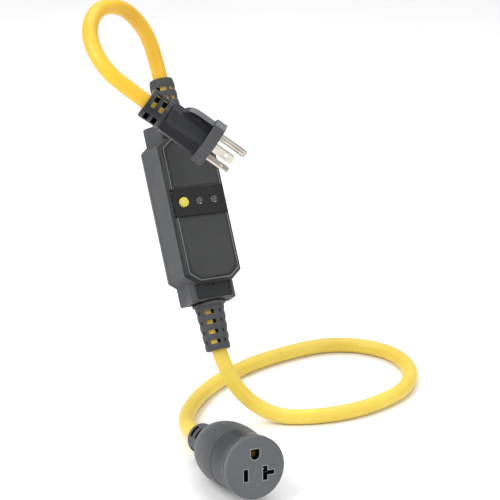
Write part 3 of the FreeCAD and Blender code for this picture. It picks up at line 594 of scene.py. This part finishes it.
def rear_shell():
    """Back half: rounded tub with a fine groove at the seam, and two shallower neck halves."""
    tub = loft("rear_shell", [
        body_ring(4.6, -11.0), body_ring(2.6, -10.5), body_ring(1.1, -9.2), body_ring(0.3, -7.2),
        body_ring(0.0, -5.6),
        body_ring(0.0, SEAM - 0.7), body_ring(0.35, SEAM - 0.25), body_ring(0.35, SEAM - 0.02),
    ], shell_grey)
    halves = []
    for sign in (-1, 1):
        inner = NECK_ROOT * sign
        halves.append(loft("neck", [
            neck_ring(13.8, inner, (HALF_LENGTH - 3.4) * sign, -9.0),
            neck_ring(16.6, inner, (HALF_LENGTH - 1.3) * sign, -8.0),
            neck_ring(17.8, inner, (HALF_LENGTH - 0.2) * sign, -6.0),
            neck_ring(18.0, inner, HALF_LENGTH * sign, SEAM - 0.7),
            neck_ring(17.7, inner, (HALF_LENGTH - 0.3) * sign, SEAM - 0.02),
        ], shell_grey))
    soften(tub, 1.3, 3, 30.0)
    for half in halves:
        soften(half, 1.6, 3, 50.0)
    combine(tub, halves, "UNION")
    hollow = loft("hollow", [
        body_ring(WALL + 2.6, -8.8), body_ring(WALL + 0.6, -7.4), body_ring(WALL, -5.6),
        body_ring(WALL, SEAM + 1.0),
    ])
    throat = box("throat", (-15.8, -57.8, -6.8), (15.8, 57.8, SEAM + 1.0))
    cutters = [hollow, throat, relief_hole()]
    # The screw wells get near-black walls: painted shade.
    cutters += [
        prism("screw_well", circle(3.0, 32, 14.4 * side, 38.0 * end), -12.0, -8.0, painted_shade_and_dot_black)
        for side in (-1, 1) for end in (-1, 1)
    ]
    combine(tub, cutters)
    return finish_piece(tub, MODULE, ["rear_housing"])


def ridge(name, outline_of, width, low, high, material):
    """A thin raised bead that follows an outline."""
    slope = 0.25
    section = ((0.0, low), (slope, high), (width - slope, high), (width, low))
    rings = [[(x, y, height) for x, y in outline_of(inset)] for inset, height in section]
    return ring_loop(name, rings, material)


def plate_outline(inset):
    """Outline of the ridge on the face plate."""
    return octagon(18.7 - inset, 47.4 - inset, 46.6 - inset, 7.2 - inset * 0.25, 5.2 - inset * 0.25)


def neck_plate_outline(sign):
    """Outline of the inset plate on the upper (1) or lower (-1) neck, as a function of its inset."""
    near, far = (45.0, 58.4)
    return lambda inset: [
        (13.8 - inset, (near + inset) * sign), (13.8 - inset, (far - inset) * sign),
        (-13.8 + inset, (far - inset) * sign), (-13.8 + inset, (near + inset) * sign),
    ]


def cover_shell():
    """Front half: drafted octagonal wall, bevelled face plate and two lower necks with inset plates."""
    cover = loft("cover_shell", [
        body_ring(0.35, SEAM + 0.02), body_ring(0.35, SEAM + 0.25), body_ring(0.05, SEAM + 0.7),
        body_ring(1.2, 13.4),
    ], shell_grey)
    soften(cover, 0.8, 2, 30.0)
    cap = loft("cap", [body_ring(1.25, 13.0), body_ring(1.3, 13.6), body_ring(2.75, FACE)], face_dark)
    soften(cap, 0.45, 3, 28.0)
    halves = []
    for sign in (-1, 1):
        inner = NECK_ROOT * sign
        half = loft("neck", [
            neck_ring(17.7, inner, (HALF_LENGTH - 0.3) * sign, SEAM + 0.02),
            neck_ring(18.0, inner, HALF_LENGTH * sign, SEAM + 0.6),
            neck_ring(16.6, inner, (HALF_LENGTH - 0.9) * sign, 8.2),
            neck_ring(15.0, inner, (HALF_LENGTH - 2.4) * sign, 10.3),
        ], shell_grey)
        halves.append(soften(half, 0.8, 3, 30.0))
    combine(cover, [cap] + halves, "UNION")
    insets = [prism("inset", neck_plate_outline(sign)(0.6), 9.4, 12.0, face_dark) for sign in (-1, 1)]
    combine(cover, insets)
    hollow = loft("hollow", [body_ring(WALL, SEAM - 1.0), body_ring(WALL + 1.4, FACE - WALL)])
    throat = box("throat", (-14.5, -57.4, SEAM - 1.0), (14.5, 57.4, 7.6))
    seat_low = PANEL_Y - PANEL_HALF - 0.1
    seat_high = PANEL_Y + PANEL_HALF + 0.1
    cutters = [hollow, throat, relief_hole()]
    cutters.append(box("seat", (-24.0, seat_low, FACE - 0.5), (24.0, seat_high, FACE + 2.0), panel_black))
    for side in (-1, 1):
        left, right = sorted((18.8 * side, 19.75 * side))
        low = (left, seat_low, FACE - 2.0)
        high = (right, seat_high, FACE + 2.0)
        cutters.append(box("side_seat", low, high, panel_black))
    rounds = [("button_hole", circle(3.8, 48, BUTTON_X, PANEL_Y))]
    rounds += [("lens_hole", circle(2.2, 40, x, PANEL_Y)) for x in LENS_PLACES.values()]
    # Button and lens holes get near-black walls: painted shade.
    for name, outline in rounds:
        cutters.append(prism(name, outline, FACE - 6.0, FACE + 1.0, painted_shade_and_dot_black))
    combine(cover, cutters)
    return finish_piece(cover, MODULE, ["front_cover"])


def face_trim():
    """Ridge round the face plate, broken by the panel, the rims of the neck plates and a small dot; the
    ridge and rims are lighter grey as painted highlight.
    """
    bead = ridge("face_ridge", plate_outline, 0.65, FACE - 0.05, FACE + 0.4, ridge_painted_highlight)
    low = (-25.0, PANEL_Y - PANEL_HALF, FACE - 2.0)
    high = (25.0, PANEL_Y + PANEL_HALF, FACE + 3.0)
    combine(bead, [box("gap", low, high)])
    finish_piece(bead, MODULE, [])
    for sign, name in ((-1, "lower_neck_rim"), (1, "upper_neck_rim")):
        # The rims use the lighter relief grey as painted highlight along the plates' edges.
        rim = ridge(name, neck_plate_outline(sign), 0.7, 9.45, 10.5, relief_grey)
        finish_piece(rim, MODULE, [])
    profile = [(0.0, 9.3), (0.7, 9.3), (0.7, 9.6), (0.4, 9.75), (0.0, 9.75)]
    dot = turned("neck_dot", profile, painted_shade_and_dot_black, 24)
    dot.data.transform(Matrix.Translation(Vector((1.0, -49.0, 0.0)) * MM))
    finish_piece(dot, MODULE, [])


def label_film_piece(name, low, high, cut_high):
    """A plain label in the ridge, with the plate's cut corners at its outer end."""
    half = LABEL_HALF_WIDTH
    corner = LABEL_CORNER
    slant = corner * 1.25
    if cut_high:
        outline = [
            (half, low), (half, high - corner), (half - slant, high),
            (slant - half, high), (-half, high - corner), (-half, low),
        ]
    else:
        outline = [
            (half, high), (-half, high), (-half, low + corner),
            (slant - half, low), (half - slant, low), (half, low + corner),
        ]
    film = prism(name, outline, FACE + 0.01, FACE + 0.22, label_film)
    soften(film, 0.08, 1, 40.0)
    node = "upper_label" if cut_high else "lower_label"
    return finish_piece(film, MODULE, [node])


def rounded_box_outline(half_x, half_y, radius, y):
    """Rectangle with rounded corners, centred at a height y."""
    points = []
    for sign_x, sign_y, start in ((1, 1, 0.0), (-1, 1, 90.0), (-1, -1, 180.0), (1, -1, 270.0)):
        points += circle(radius, 6, sign_x * (half_x - radius), y + sign_y * (half_y - radius), start, 90.0)
    return points


def on_panel(piece, x):
    """Moves a turned piece from the module's axis to its place on the panel."""
    piece.data.transform(Matrix.Translation(Vector((x, PANEL_Y, 0.0)) * MM))
    return piece


def panel_well(name, x, radius, lip, mouth, material, count):
    """Cutter for a round well in the panel, which widens to its mouth above a lip."""
    profile = [
        (0.0, FACE - 3.0), (radius, FACE - 3.0), (radius, FACE + lip), (mouth, FACE + 1.4),
        (0.0, FACE + 1.4),
    ]
    return on_panel(turned(name, profile, material, count), x)


def panel():
    """Black button panel: rounded corners, side lips, three small tabs, wells for button and lenses."""
    rings = []
    for inset, height in ((0.0, FACE - 1.9), (0.0, FACE + 0.2), (0.35, FACE + 0.8), (1.1, FACE + 1.15)):
        half_x = PANEL_HALF_WIDTH - inset
        half_y = PANEL_HALF - inset * 0.5
        outline = rounded_box_outline(half_x, half_y, PANEL_CORNER, PANEL_Y)
        rings.append([(x, y, height) for x, y in outline])
    plate = loft("panel", rings, panel_black)
    under = box("under", (-18.85, PANEL_Y - 13.0, FACE - 6.0), (18.85, PANEL_Y + 13.0, FACE - 0.4))
    tabs = []
    for y in (12.0, 4.5, -2.5):
        tabs.append(box("tab", (-20.6, y - 0.9, FACE - 1.7), (-19.0, y + 0.9, FACE + 0.3), panel_black))
    # The button well's walls are near-black: painted shade.
    wells = [panel_well("button_well", BUTTON_X, 3.6, 0.75, 4.1, painted_shade_and_dot_black, 64)]
    for x in LENS_PLACES.values():
        wells.append(panel_well("lens_well", x, 2.76, 0.8, 3.2, panel_black, 48))
    combine(plate, [under] + wells)
    combine(plate, tabs, "UNION")
    soften(plate, 0.14, 2, 40.0)
    return finish_piece(plate, MODULE, ["button_panel"])


def button():
    """Domed yellow button with a collar below the panel."""
    cap = turned("button", [
        (0.0, 11.2), (1.6, 11.2), (1.6, 14.8), (3.25, 14.8), (3.25, 18.0), (3.1, 18.45), (2.7, 18.7),
        (2.0, 18.82), (1.0, 18.88), (0.0, 18.9),
    ], button_yellow, 64)
    return finish_piece(on_panel(cap, BUTTON_X), MODULE, ["test_reset_button"], "button")


def lens_piece(name, x):
    """Smoked lens: a shallow dish with a raised rim, and a light pipe under it."""
    piece = turned(name, [
        (0.0, 13.2), (1.8, 13.2), (1.8, 15.7), (2.7, 15.7), (2.7, 17.05), (2.5, 17.35), (2.2, 17.4),
        (1.75, 17.15), (1.2, 16.9), (0.6, 16.8), (0.0, 16.78),
    ], lens_dark, 48)
    return finish_piece(on_panel(piece, x), MODULE, [name])


# ---------------------------------------------------------------- strain reliefs of the module
RELIEF_LENGTH = 31.2
RELIEF_START = 2.6
RELIEF_WIDE = 9.5
RELIEF_NARROW = 7.9
RELIEF_STEPS = 58
ROW_PITCH = 6.5
ROWS = 4
BORE = 5.2
CUTTER_REACH = 14.0


def radial_cut(name, span, floor, half_height, material, angle, height):
    """Box cutter through a round wall: from a floor radius outwards, turned about local Z and lifted."""
    low, high = sorted(span)
    cutter = box(name, (low, floor, -half_height), (high, CUTTER_REACH, half_height), material)
    lift = Matrix.Translation((0, 0, height * MM))
    cutter.data.transform(lift @ Matrix.Rotation(math.radians(angle), 4, "Z"))
    return cutter


def relief(name, place, column, first, side_pane, node):
    """Tapered relief with rounded segments, and rows of windows whose floors carry painted shade: a darker
    copy of the jacket beside a near-black pocket.
    """
    outer = []
    for index in range(RELIEF_STEPS + 1):
        height = RELIEF_START + (RELIEF_LENGTH - 3.2) * index / RELIEF_STEPS
        rise = height - RELIEF_START
        taper = RELIEF_WIDE + (RELIEF_NARROW - RELIEF_WIDE) * rise / (RELIEF_LENGTH - RELIEF_START)
        swell = 0.5 + 0.5 * math.cos(2.0 * math.pi * (height - first - ROW_PITCH / 2.0) / ROW_PITCH)
        outer.append((taper - 0.22 + 0.42 * swell ** 0.6, height))
    flange = [
        (BORE, -5.0), (7.3, -5.0), (7.3, 0.15), (10.9, 0.15), (11.0, 0.5), (11.0, 1.5), (10.7, 1.9),
        (9.8, 2.1),
    ]
    profile = flange + outer + [(7.3, RELIEF_LENGTH), (BORE, RELIEF_LENGTH)]
    piece = turned(name, profile, relief_grey, 96)
    windows = []
    for row in range(ROWS):
        height = first + ROW_PITCH * row
        skin = RELIEF_WIDE - 1.6 * height / RELIEF_LENGTH
        # Window floors carry painted shade: the darker jacket copy, and near-black in the shade pocket.
        cuts = (
            ("window", (-3.2, 1.0), 6.7, 1.25, cord_painted_shade, 0.0),
            ("shade", (0.99, 3.2), 5.0, 1.25, painted_shade_and_dot_black, 0.0),
            ("side_window", (-1.1, 1.1), skin - 0.9, 1.1, side_pane, -48.0),
            ("side_window", (-1.1, 1.1), skin - 0.9, 1.1, side_pane, 48.0),
            ("edge_notch", (-2.2, 2.2), skin - 0.4, 0.8, relief_grey, 90.0),
        )
        for side in (0.0, 180.0):
            for cut, span, floor, half_height, material, turn in cuts:
                angle = column + side + turn
                windows.append(radial_cut(cut, span, floor, half_height, material, angle, height))
    combine(piece, windows)
    return finish_piece(piece, place, [node])


# ---------------------------------------------------------------- plug
SHOULDER = -34.5
FLANGE_BACK = -7.6
SCOOP_CENTRE = (5.5, 12.2, -17.0)
SCOOP_RADII = (3.0, 2.6, 11.5)
BLADE_HALF_WIDTH = 3.175
BLADE_HALF_THICKNESS = 0.76
BLADE_LENGTH = 15.9
BLADE_ROOT = -7.0
BLADE_Y = -2.0
HOT_X = 6.35
NEUTRAL_X = -8.73
PIN_Y = 9.9
PIN_RADIUS = 2.375
PIN_ROOT = -14.0
PIN_DOME = 17.625


def grip_ring(height, half, side_top, top_half, top, side_bottom, bottom_half, bottom):
    """Section of the grip: flat sides, wide upper chamfers and a narrower bottom."""
    return [
        (half, side_top, height), (top_half, top, height),
        (-top_half, top, height), (-half, side_top, height),
        (-half, -side_bottom, height), (-bottom_half, -bottom, height),
        (bottom_half, -bottom, height), (half, -side_bottom, height),
    ]


def flange_ring(inset, height):
    """Section of the flange: a peak over the ground pin, straight sides and cut lower corners."""
    side = 14.5 - inset
    low_corner = 11.0 - inset * 0.4
    return [
        (side, 9.6 - inset * 0.4, height), (4.2, 17.0 - inset, height),
        (-4.2, 17.0 - inset, height), (-side, 9.6 - inset * 0.4, height),
        (-side, inset * 0.3 - 7.4, height), (-low_corner, inset - 9.8, height),
        (low_corner, inset - 9.8, height), (side, inset * 0.3 - 7.4, height),
    ]


def scoop(side):
    """An egg-shaped cutter for the thumb scoop beside the ridge."""
    centre_x, centre_y, centre_z = SCOOP_CENTRE
    half_x, half_y, half_z = SCOOP_RADII
    steps = 24
    rings = []
    for step in range(1, steps):
        angle = math.pi * step / float(steps)
        reach = math.sin(angle)
        rings.append([
            (
                side * centre_x + x * half_x * reach,
                centre_y + y * half_y * reach,
                centre_z - half_z * math.cos(angle),
            )
            for x, y in circle(1.0, steps)
        ])
    return loft("scoop", rings, plug_black)


def paint(piece, material, chosen):
    """Gives some faces a second material; the test takes a face's centre in millimetres and its normal."""
    piece.data.materials.append(material)
    index = len(piece.data.materials) - 1
    for face in piece.data.polygons:
        if chosen(face.center / MM, face.normal):
            face.material_index = index


def plug_body():
    """Moulded grip with a ground-side ridge, a thumb scoop on each side of it, and the flange."""
    grip = loft("plug_body", [
        grip_ring(SHOULDER, 9.9, 5.3, 4.6, 9.3, 4.9, 6.8, 7.9),
        grip_ring(SHOULDER + 0.8, 10.3, 5.5, 4.8, 9.6, 5.1, 7.0, 8.2),
        grip_ring(FLANGE_BACK + 0.2, 11.6, 6.4, 4.5, 9.8, 4.8, 8.4, 7.6),
    ], plug_black)
    ridge_side = [
        (-29.0, 9.0), (-27.9, 11.0), (-26.2, 12.9), (-24.2, 14.3), (-21.6, 15.0), (-18.0, 15.2),
        (-7.4, 15.2), (-7.4, 4.0), (-29.0, 4.0),
    ]
    spine = loft("spine", [[(x, y, z) for z, y in ridge_side] for x in (-3.5, 3.5)], plug_black)
    flange = loft("flange", [
        flange_ring(0.4, FLANGE_BACK), flange_ring(0.0, FLANGE_BACK + 0.4), flange_ring(0.0, -0.4),
        flange_ring(0.4, 0.0),
    ], plug_black)
    combine(grip, [spine], "UNION")
    cutters = [scoop(side) for side in (-1, 1)]
    for side in (-1, 1):
        left, right = sorted((side * 10.6, side * 14.0))
        low = (left, 1.9, SHOULDER + 1.5)
        high = (right, 2.7, FLANGE_BACK - 1.0)
        cutters.append(box("groove", low, high, plug_black))
    combine(grip, cutters)
    melt(grip, 0.28, 7)
    combine(grip, [flange], "UNION")
    bore = prism("bore", circle(BORE, 48), SHOULDER - 1.0, SHOULDER + 3.0)
    sockets = [
        box("socket", (5.5, -5.3, -7.2), (7.2, 1.3, 0.5)),
        box("socket", (-12.0, -2.85, -7.2), (-5.5, -1.15, 0.5)),
        prism("socket", circle(2.42, 32, 0.0, PIN_Y), -14.2, 0.5),
    ]
    combine(grip, [bore] + sockets)
    # Painted shade on the lower sides and the scooped flanks, painted highlight on the upward facets of the
    # ridge and flange.
    paint(grip, plug_painted_shade, lambda at, normal: (
        at.z < FLANGE_BACK - 0.3 and at.y < 1.6 and abs(normal.x) > 0.8
    ))
    paint(grip, plug_painted_shade, lambda at, normal: (
        at.z < FLANGE_BACK - 0.3 and 9.7 < at.y < 14.6 and abs(at.x) > 2.6 and normal.y < 0.85
    ))
    paint(grip, plug_painted_highlight, lambda at, normal: at.y > 13.5 and normal.y > 0.8)
    return finish_piece(grip, PLUG, ["plug_body"], smooth=38.0)


def plug_relief():
    """Round windowed relief behind the grip, with a raised rib next to the shoulder."""
    piece = turned("plug_relief", [
        (BORE, -50.1), (9.4, -50.1), (9.9, -49.8), (10.1, -49.2), (10.0, -44.0), (9.8, -38.9),
        (10.1, -38.5), (10.1, -35.5), (9.6, -35.1), (9.5, SHOULDER - 0.02), (BORE, SHOULDER - 0.02),
    ], plug_black, 128)
    cutters = []
    for height in (-45.6, -40.0):
        for side in (-1, 1):
            # Each window shows a darker copy of the jacket beside near-black pockets: painted shade.
            cuts = (
                ("window", (side * -3.6, side * 1.1), 6.6, 1.3, cord_painted_shade, 46.0),
                ("shade", (side * 1.09, side * 6.0), 5.3, 1.5, painted_shade_and_dot_black, 46.0),
                ("square", (-3.0, 3.0), 5.4, 1.55, painted_shade_and_dot_black, 112.0),
            )
            for cut, span, floor, half_height, material, turn in cuts:
                angle = side * turn
                cutters.append(radial_cut(cut, span, floor, half_height, material, angle, height))
    combine(piece, cutters)
    return finish_piece(piece, PLUG, ["plug_strain_relief"], smooth=40.0)


def rounded_blade_outline(half, length, back):
    """Blade seen flat: square root, tip with rounded corners."""
    corner = 1.9
    tip = circle(corner, 6, half - corner, length - corner, 0.0, 90.0)
    tip += circle(corner, 6, corner - half, length - corner, 90.0, 90.0)
    return [(half, back)] + tip + [(-half, back)]


def blade(name, x, upright, node):
    """A flat blade with a rounded tip and a hole, its edges eased."""
    outline = rounded_blade_outline(BLADE_HALF_WIDTH, BLADE_LENGTH, BLADE_ROOT)
    piece = prism(name, outline, -BLADE_HALF_THICKNESS, BLADE_HALF_THICKNESS, blade_metal)
    hole = prism("hole", circle(1.6, 32, 0.0, 10.7), -2.0, 2.0, blade_metal)
    combine(piece, [hole])
    soften(piece, 0.22, 2, 40.0)
    stand = Matrix.Rotation(math.radians(90), 4, "X")
    quarter = Matrix.Rotation(math.radians(90), 4, "Z") if upright else Matrix.Identity(4)
    piece.data.transform(Matrix.Translation(Vector((x, BLADE_Y, 0.0)) * MM) @ quarter @ stand)
    return finish_piece(piece, PLUG, [node])


def ground_pin():
    """Round pin with a domed tip and a slimmer root."""
    root_radius = 2.075
    shank = [(0.0, PIN_ROOT), (root_radius, PIN_ROOT), (root_radius, 0.5), (PIN_RADIUS, 0.5)]
    dome = [
        (PIN_RADIUS * math.cos(math.radians(angle)), PIN_DOME + PIN_RADIUS * math.sin(math.radians(angle)))
        for angle in range(0, 91, 10)
    ]
    piece = turned("ground_pin_piece", shank + dome, blade_metal, 48)
    piece.data.transform(Matrix.Translation(Vector((0.0, PIN_Y, 0.0)) * MM))
    return finish_piece(piece, PLUG, ["ground_pin"], smooth=60.0)


# ---------------------------------------------------------------- connector
SLOT_X = 6.35
SLOT_Y = -4.0
GROUND_Y = 7.9
POCKET_FLOOR = -20.0
COLLAR_START = -23.01
COLLAR_END = -59.5
CONNECTOR_END = -77.0


def straight_slot(grow):
    """Outline of the upright slot, let out by some millimetres."""
    half_x = 1.4 + grow
    half_y = 3.65 + grow
    return [(-SLOT_X + x * half_x, SLOT_Y + y * half_y) for x, y in ((1, -1), (1, 1), (-1, 1), (-1, -1))]


def tee_slot(grow):
    """Outline of the tee-shaped slot: an upright with one arm to the right."""
    side = 1.4 + grow
    tall = 4.25 + grow
    bar = 1.2 + grow
    reach = 6.05 + grow
    outline = [
        (side, -tall), (side, -bar), (reach, -bar), (reach, bar),
        (side, bar), (side, tall), (-side, tall), (-side, -tall),
    ]
    return [(SLOT_X + x, SLOT_Y + y) for x, y in outline]


def ground_slot(grow):
    """Outline of the ground opening: flat on top and round below."""
    half = 2.85 + grow
    top = GROUND_Y + 3.4 + grow
    return [(half, top), (-half, top)] + circle(half, 24, 0.0, GROUND_Y, 180.0, 180.0)


SLOTS = {"straight": straight_slot, "tee": tee_slot, "ground": ground_slot}


def connector_face():
    """Flat face insert with its openings and their raised rims."""
    piece = turned("connector_face_piece", [
        (0.0, -3.95), (19.0, -3.95), (19.35, -3.7), (19.35, -0.45), (19.15, -0.12), (18.8, 0.0),
        (0.0, 0.0),
    ], connector_mid, 128)
    # Slot walls in near-black: painted shade.
    cutters = [prism(name, outline(0.0), -6.0, 1.0, painted_shade_and_dot_black) for name, outline in SLOTS.items()]
    combine(piece, cutters)
    finish_piece(piece, CONNECTOR, ["connector_face"])
    for name, outline in SLOTS.items():
        rim = ridge("rim_" + name, lambda inset: outline(0.70 - inset), 0.62, -0.05, 0.24, slot_rim)
        finish_piece(rim, CONNECTOR, [])


def connector_barrel():
    """Slightly waisted barrel behind the face, with a rounded front edge."""
    piece = turned("connector_barrel", [
        (0.0, -23.0), (18.4, -23.0), (18.8, -22.5), (18.6, -17.0), (18.4, -11.5), (18.6, -7.5),
        (19.1, -5.0), (19.35, -4.6), (19.2, -4.1), (18.9, -4.0), (0.0, -4.0),
    ], connector_dark, 128)
    outlines = [
        rectangle(-SLOT_X - 1.8, -SLOT_X + 1.8, SLOT_Y - 4.0, SLOT_Y + 4.0),
        rectangle(SLOT_X - 1.8, SLOT_X + 1.8, SLOT_Y - 4.6, SLOT_Y + 4.6),
        rectangle(SLOT_X + 1.7, SLOT_X + 6.8, SLOT_Y - 1.6, SLOT_Y + 1.6),
        circle(3.2, 32, 0.0, GROUND_Y),
    ]
    # Pocket walls and floors in near-black: painted shade.
    pockets = [prism("pocket", outline, POCKET_FLOOR, -3.0, painted_shade_and_dot_black) for outline in outlines]
    combine(piece, pockets)
    return finish_piece(piece, CONNECTOR, ["connector_body"])


def connector_collar():
    """Rounded rear collar that narrows to the relief, bored for the cord."""
    piece = turned("connector_collar_piece", [
        (BORE, COLLAR_START), (18.0, COLLAR_START), (18.9, -23.4), (19.2, -24.4), (19.5, -29.0),
        (19.55, -33.0), (19.45, -38.0), (19.0, -42.0), (18.2, -46.0), (17.1, -50.0), (15.5, -53.5),
        (13.9, -56.5), (12.2, -58.6), (11.4, COLLAR_END), (BORE, COLLAR_END),
    ], collar_grey, 128)
    return finish_piece(piece, CONNECTOR, ["connector_collar"], smooth=45.0)


def connector_relief():
    """Short relief with two rows of slots."""
    piece = turned("connector_relief_piece", [
        (BORE, CONNECTOR_END), (8.6, CONNECTOR_END), (9.3, -76.6), (9.75, -75.8), (9.8, -73.5),
        (9.5, -71.8), (9.8, -70.0), (9.5, -67.0), (9.7, -64.0), (9.6, -59.52), (BORE, -59.52),
    ], collar_grey, 96)
    # Slot walls in near-black: painted shade.
    windows = [
        radial_cut("window", (-3.8, 3.8), 4.4, 1.5, painted_shade_and_dot_black, angle, height)
        for height in (-71.7, -65.3) for angle in (45.0, 135.0, 225.0, 315.0)
    ]
    combine(piece, windows)
    return finish_piece(piece, CONNECTOR, ["connector_strain_relief"], smooth=40.0)


# ---------------------------------------------------------------- build
add_camera()
add_studio()
add_floor()
cord_curve("input_cord_piece", UPPER_ROUTE, cord_amber, "input_cord")
cord_curve("output_cord_piece", LOWER_ROUTE, cord_yellow, "output_cord")
rear_shell()
cover_shell()
face_trim()
label_film_piece("upper_label_film", PANEL_Y + PANEL_HALF + 1.4, 45.3, True)
label_film_piece("lower_label_film", -44.5, PANEL_Y - PANEL_HALF - 1.4, False)
panel()
button()
for lens_name, lens_x in LENS_PLACES.items():
    lens_piece(lens_name, lens_x)
relief("upper_relief", UPPER_NECK, -36.0, 4.2, cord_painted_shade, "upper_strain_relief")
relief("lower_relief", LOWER_NECK, 36.0, 6.3, relief_grey, "lower_strain_relief")
plug_body()
plug_relief()
blade("hot_blade_piece", HOT_X, True, "hot_blade")
blade("neutral_blade_piece", NEUTRAL_X, False, "neutral_blade")
ground_pin()
connector_face()
connector_barrel()
connector_collar()
connector_relief()

for node_name, node_material in NODE_MATERIALS.items():
    node_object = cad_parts[node_name]
    node_object.data.materials.clear()
    node_object.data.materials.append(node_material)
